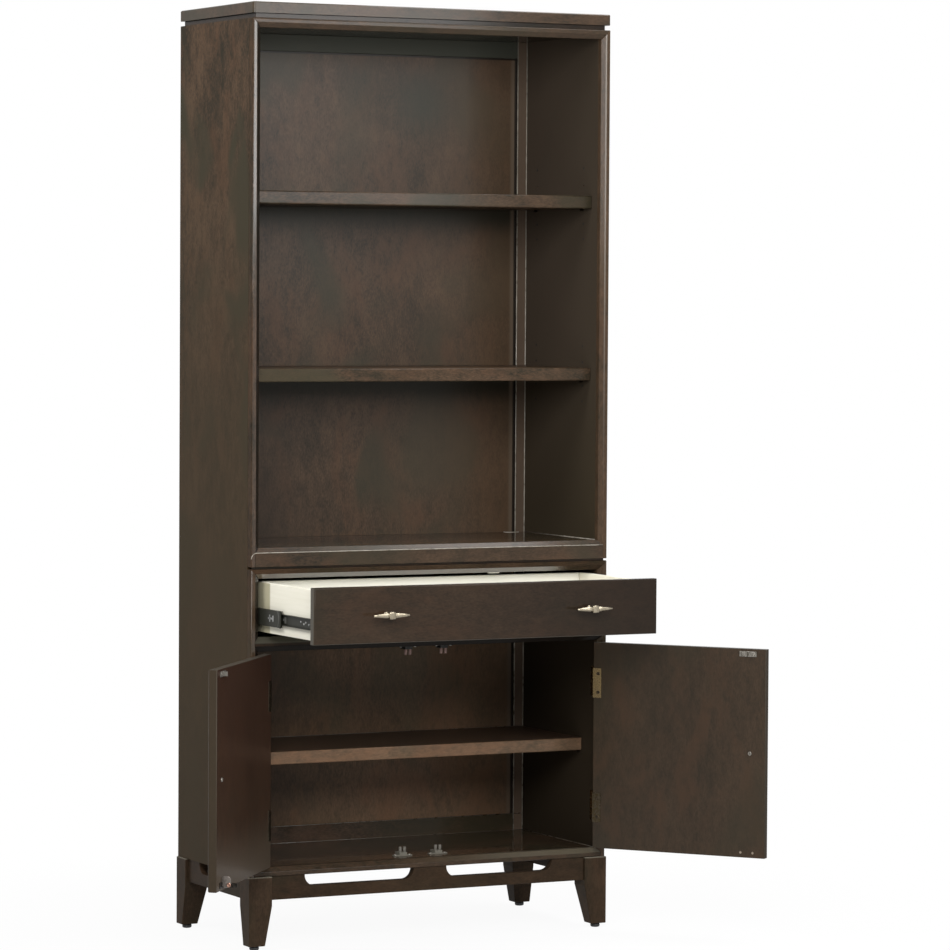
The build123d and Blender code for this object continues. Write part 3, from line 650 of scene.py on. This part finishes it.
# In millimetres from a channel's front end: where each bar of a lever starts and stops, and its half height;
# how far back each screw is, and how far above the middle of the channel.
lever_bars = ((32, 38, 7.0), (50, 55, 8.0), (36, 62, 2.2))
screw_places = ((17, -2), (33, 2), (43, -2), (59, 2), (150, 0))
rib_ends, rib_bulge, rib_half_height = 13 * mm, 9 * mm, 18 * mm
arc = np.linspace(-pi / 2, pi / 2, 15)
lever_grids, bumper_grids, rib_grids, tab_grids, slide_screw_grids = [], [], [], [], []
for side in (-1, 1):
    out = (side, 0, 0)
    outer = side * middle_high.x
    web = side * (member_high.x - web_depth)
    for start, stop, half_height in lever_bars:
        centre = (outer, middle_low.y + (start + stop) / 2 * mm, slide_level)
        lever_grids.append(side_pad(side, centre, (stop - start) / 2 * mm, half_height * mm, rise=0.5 * mm))
    bumper = (outer - side * 1.4 * mm, middle_low.y + 1 * mm, slide_level)
    bumper_pad = pads([bumper], ACROSS, UP, half_first=1.9 * mm, half_second=19.5 * mm, rise=5 * mm)
    bumper_grids.append(bumper_pad)
    rib_y = middle_low.y + rib_ends - rib_bulge * np.cos(arc)
    rib_z = slide_level + rib_half_height * np.sin(arc)
    rib_grids.append(bead(np.stack((0 * arc + outer, rib_y, rib_z), 1), out, radius=0.8 * mm))
    tab = (web, middle_low.y - 12 * mm, slide_level)
    tab_grids.append(side_pad(side, tab, half_depth=6 * mm, half_height=8 * mm, rise=1.5 * mm))
    centres = [(web, member_low.y + place * mm, slide_level + rise * mm) for place, rise in screw_places]
    slide_screw_grids.append(screw_heads(centres, out, radius=2.5 * mm, rise=1.2 * mm))
surface("slide_bumpers", bumper_grids, slide_black, "slide_middles")
surface("slide_levers", lever_grids, lever_steel, "slide_middles")
surface("slide_ribs", rib_grids, rib_grey, "slide_middles")
surface("slide_tabs", tab_grids, rib_grey, "drawer")
surface("slide_screws", slide_screw_grids, lever_steel, "drawer")

# Drawer. A cream lacquered box, with a tan band of painted shadow near the rear of its outer sides, and a
# stained front screwed to it, with painted highlights along two edges and painted shade toward the right. A
# small nylon stop sits under the rail above it.


def cream_lacquer(name, low, high, bare_and_shaded=()):
    """Cream lacquer with faint level streaks. Where each side in bare_and_shaded holds, a tan painted shadow
    shows.
    """
    material, shade, principled = new_finish(name)
    place = shade.node("TexCoord", output="Object")
    moved = shade.node("Mapping", {}, {"Vector": place, "Scale": (6.0, 6.0, 160.0)})
    grain = shade.node("TexNoise", {}, {"Vector": moved, "Scale": 1.0, "Detail": 4.0})
    cream = grain.ramp((0.3, low), (0.7, high))
    cover = 1.0
    for side in bare_and_shaded:
        cover = place.between(*side) * cover
    if bare_and_shaded:
        cream = cover.blend(cream, colour(0.42, 0.39, 0.27))
    feed(cream, principled, "Base Color")
    feed(0.4 + (grain - 0.5) * 0.2, principled, "Roughness")
    principled.inputs["Specular IOR Level"].default_value = 0.2
    return material


box_lacquer = cream_lacquer("cream_lacquer", colour(0.78, 0.765, 0.685), colour(0.84, 0.825, 0.75))
for node in ("drawer_box_front", "drawer_back", "drawer_bottom"):
    dress(node, box_lacquer, board_ease)
# The tan band near the rear of each drawer side is a painted shadow cast by the case.
side_cream, side_pale = colour(0.77, 0.74, 0.62), colour(0.83, 0.80, 0.69)
for node, side in (("drawer_left_side", -1), ("drawer_right_side", 1)):
    low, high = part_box(node)
    outer = max(abs(low.x), abs(high.x))
    outer_face = ((side, 0, 0), outer - 1.5 * mm, outer - 0.5 * mm)
    rear_end = (BACK, high.y - 93 * mm, high.y - 87 * mm)
    dress(node, cream_lacquer(node, side_cream, side_pale, (outer_face, rear_end)), board_ease)
front_low, front_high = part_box("drawer_front")
front_ease = 0.8 * mm
# Painted shade darkens the drawer front toward the right, and its left and bottom edges carry painted
# highlights.
right_painted_shade = colour(0.010, 0.007, 0.005)
edge_painted_highlight = colour(0.075, 0.066, 0.052)
edges = (
    (ACROSS, -0.3, 0.75, right_painted_shade),
    (ACROSS, front_low.x + 1.6 * mm, front_low.x + 0.4 * mm, edge_painted_highlight),
    (UP, front_low.z + 2.0 * mm, front_low.z + 0.6 * mm, edge_painted_highlight),
)
front_wood = stained_wood(
    "drawer_front", ALONG_X, next(seeds), tone=0.72, warm=0.4, contrast=0.5, coat=0.25, edges=edges
)
dress("drawer_front", front_wood, front_ease)

rail_low, rail_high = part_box("lower_top_rail")
stop_white = metal(
    "stop_nylon", colour(0.60, 0.58, 0.50), colour(0.68, 0.66, 0.58), roughness=0.5, metallic=0.0
)
stop_centre = (165 * mm, rail_high.y - 6 * mm, rail_low.z)
stop_pad = pads([stop_centre], BACK, ACROSS, half_first=5 * mm, half_second=14 * mm, rise=2.3 * mm)
surface("drawer_stop", [stop_pad], stop_white, "case")

# Pulls. Turned and tapered bars of satin nickel, each through a squared hub on a round post with a foot. A
# zinc-plated screw through the drawer front and the box holds each post from behind.

satin_nickel = metal(
    "satin_nickel", colour(0.27, 0.23, 0.165), colour(0.38, 0.335, 0.255), roughness=0.3, scale=400.0
)
screw_zinc = metal("screw_zinc", colour(0.50, 0.48, 0.44), colour(0.70, 0.68, 0.62), roughness=0.3)
pull_reach = 28 * mm
# Each row: place from the middle along the bar, half height, half depth, squareness of the section.
pull_rows = np.array((
    (44.0, 0.05, 0.05, 2.0),
    (44.0, 1.9, 1.9, 2.0),
    (43.5, 2.5, 2.5, 2.0),
    (30.0, 3.9, 3.9, 2.0),
    (16.0, 5.3, 5.3, 2.0),
    (9.0, 6.1, 6.1, 2.0),
    (8.3, 5.6, 5.6, 2.0),
    (7.9, 4.6, 4.6, 2.0),
    (7.3, 4.6, 4.6, 2.0),
    (7.2, 7.2, 5.8, 6.0),
    (6.6, 8.1, 6.4, 7.0),
    (0.0, 8.25, 6.5, 7.0),
))
pull_rows[:, :3] *= mm
post_profile = np.array(((6.6, -0.2), (6.6, 1.0), (6.0, 2.0), (4.4, 3.2), (3.9, 4.5), (3.9, 24.0))) * mm


def pull(foot, bar, out):
    """A bar of superellipse sections carried along its axis, squarer at the hub, and a turned post."""
    bar, out = np.array(bar, float), np.array(out, float)
    cross = np.cross(out, bar)
    rows = np.concatenate((pull_rows * (-1, 1, 1, 1), pull_rows[-2::-1]))
    along, tall, deep, squareness = rows.T[:, :, None, None]
    turn = (np.arange(48) * 2 * pi / 48)[:, None]
    wide = tall * np.sign(np.cos(turn)) * np.abs(np.cos(turn)) ** (2 / squareness)
    high = deep * np.sign(np.sin(turn)) * np.abs(np.sin(turn)) ** (2 / squareness)
    grid = np.array(foot) + pull_reach * out + along * bar + wide * cross + high * out
    return [grid[None], turned(post_profile, [foot], out)]


pull_half_length = pull_rows[0, 0]
pull_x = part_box("drawer_pulls")[1].x - pull_half_length
pull_level = (front_low.z + front_high.z) / 2
grids = []
for x in (-pull_x, pull_x):
    grids += pull((x, front_low.y, pull_level), ACROSS, (0, -1, 0))
pull_piece = surface("drawer_pull_bars", grids, satin_nickel, "drawer")
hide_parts("drawer_pulls")
box_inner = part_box("drawer_box_front")[1].y
centres = [(x, box_inner, pull_level) for x in (-pull_x, pull_x)]
pull_heads = screw_heads(centres, BACK, radius=4.5 * mm, rise=2.2 * mm)
surface("drawer_pull_screws", [pull_heads], screw_zinc, "drawer")

# Doors. Flat stained boards with upright grain and rounded outer edges, hung on the lower stiles. Their top
# faces and the arris by the free edge are paler, as painted highlights. Inside each, near its free edge, is
# the head of the bolt for a pull.

hinges = {joint["child"]: joint for joint in frame["joints"] if joint["type"] == "hinge"}


def on_door(body):
    """The axes of an open door, along it and into the case, and a function that gives points on it.

    The axes are those of the closed door, turned about its pin by the angle at which it stands open.
    """
    joint = hinges[body]
    side = np.sign(joint["pos_m"][0])
    turn = radians(-joint["range_deg"][0])
    along = np.array((-side * cos(turn), -sin(turn), 0.0))
    inward = np.array((-side * sin(turn), cos(turn), 0.0))
    pin = np.array((*joint["pos_m"][:2], 0.0))
    return along, inward, lambda s, t, z: pin + s * mm * along + t * mm * inward + np.array((0, 0, z * mm))


# Places on a door in millimetres from its pin: its inner face, its free edge and its middle's height.
inner_side, free_edge, door_middle = 27.0, 431.35, 432.0
door_ease = 0.8 * mm
door_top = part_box("right_door")[1].z
red_top = (UP, -0.2, 0.8, colour(0.030, 0.0145, 0.010))
# A paler band low on the left door's inner face is a painted sheen.
foot_painted_sheen = (UP, 0.34, 0.19, colour(0.066, 0.051, 0.037))
olive_side = (ACROSS, 1.2, -0.6, colour(0.030, 0.0235, 0.0145))
edge_stain = colour(0.037, 0.0287, 0.0197)
# A pale line on each door's arris by the free edge is a painted highlight.
door_arris_highlight = colour(0.065, 0.056, 0.044)
doors = (
    ("left", (red_top, foot_painted_sheen), 0.05),
    ("right", (olive_side,), 0.045),
)
# Each door's top face is lightened as a painted highlight, by its own level.
for side, inner_stains_and_sheen, top_highlight_level in doors:
    node = f"{side}_door"
    along, inward, spot = on_door(f"{side}_door_swing")
    reach = float(along @ spot(free_edge, 0, 0))
    inner = float(inward @ spot(0, inner_side, 0))
    along, inward = tuple(along), tuple(inward)
    on_inside = (inward, inner - 1.5 * mm, inner - 0.5 * mm)
    on_edge = (along, reach - 1.2 * mm, reach - 0.6 * mm)
    dull_edge = (along, reach - 0.6 * mm, reach - 1.2 * mm)
    top_painted_highlight = (UP, door_top - 1.2 * mm, door_top - 0.6 * mm, colour(1.0, 0.88, 0.70, top_highlight_level))
    painted_arris_highlight = (inward, inner - 2.2 * mm, inner - 1.2 * mm, door_arris_highlight, on_edge, (UP, 0.2, 0.6))
    edges = [(*stain, on_inside) for stain in inner_stains_and_sheen]
    edges += [(*on_edge, edge_stain), painted_arris_highlight, top_painted_highlight]
    door_wood = stained_wood(
        node, ALONG_Z, next(seeds), tone=0.88, warm=0.7, contrast=0.65, coat=0.26, blur=0.22,
        edges=edges, bare_and_shaded=(dull_edge,),
    )
    dress(node, door_wood, door_ease)

bolt_place = free_edge - 38
bolt_grey = metal("bolt_grey", colour(0.13, 0.12, 0.105), colour(0.28, 0.26, 0.23), roughness=0.4)
for side in ("left", "right"):
    body = f"{side}_door_swing"
    along, inward, spot = on_door(body)
    centre = spot(bolt_place, inner_side, door_middle)
    head = screw_heads([centre], inward, radius=5.0 * mm, rise=2.4 * mm)
    surface(f"{side}_pull_screw", [head], bolt_grey, body)

# Hinges. Antique brass wrap-round hinges: one leaf on the stile, one bent over the door's edge, each held
# by two dark countersunk screws. The left door's leaves and the right door's lower leaf are darkened nearly
# black, a painted reflection of the dark inside.

antique_brass = metal("antique_brass", colour(0.20, 0.135, 0.06), colour(0.33, 0.24, 0.12), roughness=0.26)
dull_brass = metal("dull_brass", colour(0.07, 0.06, 0.043), colour(0.20, 0.175, 0.13), roughness=0.3)
screw_bronze = metal("screw_bronze", colour(0.03, 0.024, 0.018), colour(0.08, 0.06, 0.04), roughness=0.45)
for node in ("hinge_frame_leaves", "hinge_pins"):
    dress(node, antique_brass)
# The left door's leaves are darkened nearly black, a painted reflection of the dark inside.
dress("left_door_leaves", dull_brass)


def by_level(name, low, high, roughness, metallic, specular=0.2):
    """A finish that differs between the lower fittings of the cabinet and the upper ones: painted light and
    shade.
    """
    material, shade, principled = new_finish(name)
    place = shade.node("TexCoord", output="Object")
    cloud = shade.node("TexNoise", {}, {"Vector": place, "Scale": 200.0, "Detail": 4.0})
    upper = place.between(UP, 0.40, 0.44)
    clouded = (cloud.rise(0.35, 0.65) * 0.3).blend(upper.blend(low, high), colour(0.10, 0.09, 0.08))
    feed(clouded, principled, "Base Color")
    feed(roughness + (cloud - 0.5) * 0.2, principled, "Roughness")
    principled.inputs["Metallic"].default_value = metallic
    principled.inputs["Specular IOR Level"].default_value = specular
    return material


# The right door's lower leaves are darkened, a painted reflection of the dark inside; the upper ones stay
# brass.
right_leaves_brass = by_level(
    "tarnished_brass", colour(0.055, 0.040, 0.020), colour(0.30, 0.215, 0.10),
    roughness=0.26, metallic=1.0, specular=0.5,
)
dress("right_door_leaves", right_leaves_brass)

# In millimetres: the hinges' heights, how far above and below them the screws are, how far along the door
# from its pin, and how thick its leaf is.
hinge_levels, screw_rise, leaf_screw_place, leaf_thickness = (286.0, 578.0), 22.0, 13.0, 1.0
screw_levels = [level + rise for level in hinge_levels for rise in (-screw_rise, screw_rise)]
hinge_screw_radius, frame_screw_depth = 4.0 * mm, 21 * mm
frame_grids = []
for side, sign in (("left", -1), ("right", 1)):
    body = f"{side}_door_swing"
    along, inward, spot = on_door(body)
    centres = [spot(leaf_screw_place, inner_side + leaf_thickness, level) for level in screw_levels]
    heads = screw_heads(centres, inward, hinge_screw_radius, rise=0.5 * mm)
    surface(f"{side}_hinge_screws", [heads], screw_bronze, body)
    pin_x, pin_y = hinges[body]["pos_m"][:2]
    leaf_x = sign * (abs(pin_x) + 0.15 * mm)
    centres = [(leaf_x, pin_y + frame_screw_depth, level * mm) for level in screw_levels]
    frame_grids.append(screw_heads(centres, (-sign, 0, 0), hinge_screw_radius, rise=0.1 * mm))
surface("hinge_frame_screws", frame_grids, screw_bronze, "case")

# Catches. Double-roller catches under the dust panel and on the cabinet floor, and the steel strikes that go
# between their rollers. The left lower strike has an upright plate with a copper rivet. The right door has
# lost its lower strike: two pale screw holes are left.

# Painted light and shade by height: the upper catch bodies are near black and the lower grey, and the lower
# rollers greyer than the upper.
catch_body = by_level(
    "catch_body", colour(0.17, 0.16, 0.13), colour(0.008, 0.008, 0.007), roughness=0.45, metallic=0.0
)
roller_nylon = by_level(
    "roller_nylon", colour(0.15, 0.14, 0.12), colour(0.22, 0.14, 0.12), roughness=0.45, metallic=0.0
)
catch_steel = metal("catch_steel", colour(0.13, 0.12, 0.10), colour(0.30, 0.28, 0.25), roughness=0.4)
# The left door's lower strike is near black, painted shade, and its upper one steel grey.
left_steel = by_level(
    "left_strike_steel", colour(0.012, 0.010, 0.008), colour(0.24, 0.225, 0.20), roughness=0.4, metallic=0.9
)
plate_grey = metal(
    "plate_grey", colour(0.11, 0.095, 0.085), colour(0.19, 0.165, 0.145), roughness=0.4, metallic=0.6
)
copper = metal("copper_rivet", colour(0.25, 0.13, 0.095), colour(0.38, 0.22, 0.165), roughness=0.35)
raw_wood = metal("raw_wood", colour(0.15, 0.12, 0.085), colour(0.25, 0.20, 0.15), roughness=0.8, metallic=0.0)
dress("catch_brackets", catch_body, ease=0.5 * mm)
dress("catch_rollers", roller_nylon, ease=0.6 * mm)
dress("right_door_strikes", catch_steel, ease=0.3 * mm)
dress("left_door_strikes", left_steel, ease=0.3 * mm)

# Places on a door in millimetres, as above: the middle of a strike, the heights of the two strikes, how
# thick a strike is, and how far its screws, or the bare holes, are from its middle.
strike_place, strike_level_low, strike_level_high = free_edge - 44, 202.75, 661.25
strike_thickness, screw_spread, hole_spread = 1.2, 14, 15
for side in ("left", "right"):
    body = f"{side}_door_swing"
    along, inward, spot = on_door(body)
    strike_face = inner_side + strike_thickness
    shifts = (-screw_spread, screw_spread)
    centres = [spot(strike_place + shift, strike_face, strike_level_high) for shift in shifts]
    heads = screw_heads(centres, inward, radius=3.4 * mm, rise=1.1 * mm)
    surface(f"{side}_strike_screws", [heads], bolt_grey, body)
    if side == "left":
        plate_place = strike_place + 1.6
        facing = np.cross(inward, UP)
        plate_centre = spot(plate_place, inner_side + 9.8, strike_level_low + 7)
        half_depth, half_height = 11 * mm, 12.5 * mm
        plate = pads([plate_centre], inward, UP, half_depth, half_height, rise=1.1 * mm, squareness=2.6)
        surface("left_lower_plate", [plate], plate_grey, body)
        rivet_centre = spot(plate_place, inner_side + 15.5, strike_level_low + 0.5) + 0.9 * mm * facing
        rivet = screw_heads([rivet_centre], facing, radius=5.0 * mm, rise=1.2 * mm)
        surface("left_lower_rivet", [rivet], copper, body)
    else:
        shifts = (-hole_spread, hole_spread)
        centres = [spot(strike_place + shift, inner_side, strike_level_low) for shift in shifts]
        holes = turned(hole_profile, centres, inward, hole_columns)
        surface("bare_screw_holes", [holes], raw_wood, body)

bracket_low, bracket_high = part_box("catch_brackets")
catch_x, screw_reach, flange = 45.5 * mm, 18 * mm, 2.5 * mm
catch_rows = (
    (-148 * mm, bracket_low.z + flange, UP),
    (-171 * mm, bracket_high.z - flange, (0, 0, -1)),
)
grids = []
for y, z, facing in catch_rows:
    centres = [(side * catch_x + end * screw_reach, y, z) for side in (-1, 1) for end in (-1, 1)]
    grids.append(screw_heads(centres, facing, radius=3.2 * mm, rise=1.2 * mm))
surface("catch_screws", grids, screw_zinc, "case")

# Floor, light and camera. A pale floor fades into a white room. A large soft box stands before the front and
# others to the left, to the right and overhead, and the camera is where the photograph was taken.

scene = bpy.context.scene
scene.view_settings.view_transform = "Standard"

floor_reach = 30.0
mesh = bpy.data.meshes.new("floor")
corners = [(x * floor_reach, y * floor_reach, 0) for x, y in ((-1, -1), (1, -1), (1, 1), (-1, 1))]
mesh.from_pydata(corners, [], [(0, 1, 2, 3)])
floor = bpy.data.objects.new("floor", mesh)
scene.collection.objects.link(floor)
pale, shade, principled = new_finish("pale_floor")
mesh.materials.append(pale)
principled.inputs["Base Color"].default_value = colour(0.85, 0.85, 0.85)
principled.inputs["Roughness"].default_value = 0.7
principled.inputs["Specular IOR Level"].default_value = 0.1
floor_place = shade.node("TexCoord", output="Object")
distance = shade.node("VectorMath", {"operation": "LENGTH"}, {0: floor_place}, "Value")


def seen_directly(shade):
    """1 for camera rays, and for rays that metal, lacquer or glass sends on; 0 for light."""
    kinds = ("Camera", "Glossy", "Transmission")
    camera_ray, glossy_ray, through_ray = (shade.node("LightPath", output=f"Is {kind} Ray") for kind in kinds)
    return shade.maths("MAXIMUM", shade.maths("MAXIMUM", camera_ray, glossy_ray), through_ray)


seen = seen_directly(shade)
room_white = colour(1.0, 1.0, 1.0)
white = shade.node("Emission", {}, {"Color": room_white, "Strength": 1.0})
lit = Shade(shade.tree, principled.outputs[0])
near_white = 0.94
far = (distance.rise(0.5, 1.6) * (1 - near_white) + near_white) * seen
mixed = shade.node("MixShader", {}, {0: far, 1: lit, 2: white})
shade.tree.links.new(mixed.socket, shade.tree.nodes["Material Output"].inputs["Surface"])

world = bpy.data.worlds.new("room")
scene.world = world
world.use_nodes = True
shade = Shade(world.node_tree)
background = world.node_tree.nodes["Background"]
background.inputs["Color"].default_value = room_white
room_light = 0.20
strength = seen_directly(shade) * (1 - room_light) + room_light
world.node_tree.links.new(strength.socket, background.inputs["Strength"])


def soft_light(name, place, aim, size, power):
    """A square soft box that faces a point."""
    lamp = bpy.data.lights.new(name, "AREA")
    lamp.size = size
    lamp.energy = power
    holder = bpy.data.objects.new(name, lamp)
    scene.collection.objects.link(holder)
    holder.location = place
    holder.rotation_euler = (Vector(aim) - Vector(place)).to_track_quat("-Z", "Y").to_euler()


soft_light("front_box", (-1.7, -3.6, 2.5), (0, 0, 1.2), size=1.8, power=140)
soft_light("left_box", (-2.3, -0.5, 2.9), (-0.4, 0, 1.8), size=1.2, power=48)
soft_light("top_box", (1.2, -0.5, 3.6), (0.2, -0.2, 0.9), size=1.4, power=70)
soft_light("right_box", (1.6, -4.4, 2.3), (0, 0, 1.4), size=1.2, power=45)

focal_pixels, frame_pixels, sensor = 4333.7, 950, 36.0
yaw, pitch, roll = radians(27.007), radians(-2.487), radians(0.352)
camera_place = (-4.4172, -9.0831, 1.4998)
camera = bpy.data.cameras.new("camera")
camera.sensor_width = sensor
camera.lens = focal_pixels * sensor / frame_pixels
camera.clip_end = 100
viewer = bpy.data.objects.new("camera", camera)
scene.collection.objects.link(viewer)
aim_up = Matrix.Rotation(pi / 2 + pitch, 4, "X") @ Matrix.Rotation(roll, 4, "Z")
turn = Matrix.Rotation(-yaw, 4, "Z") @ aim_up
viewer.matrix_world = Matrix.Translation(camera_place) @ turn
scene.camera = viewer
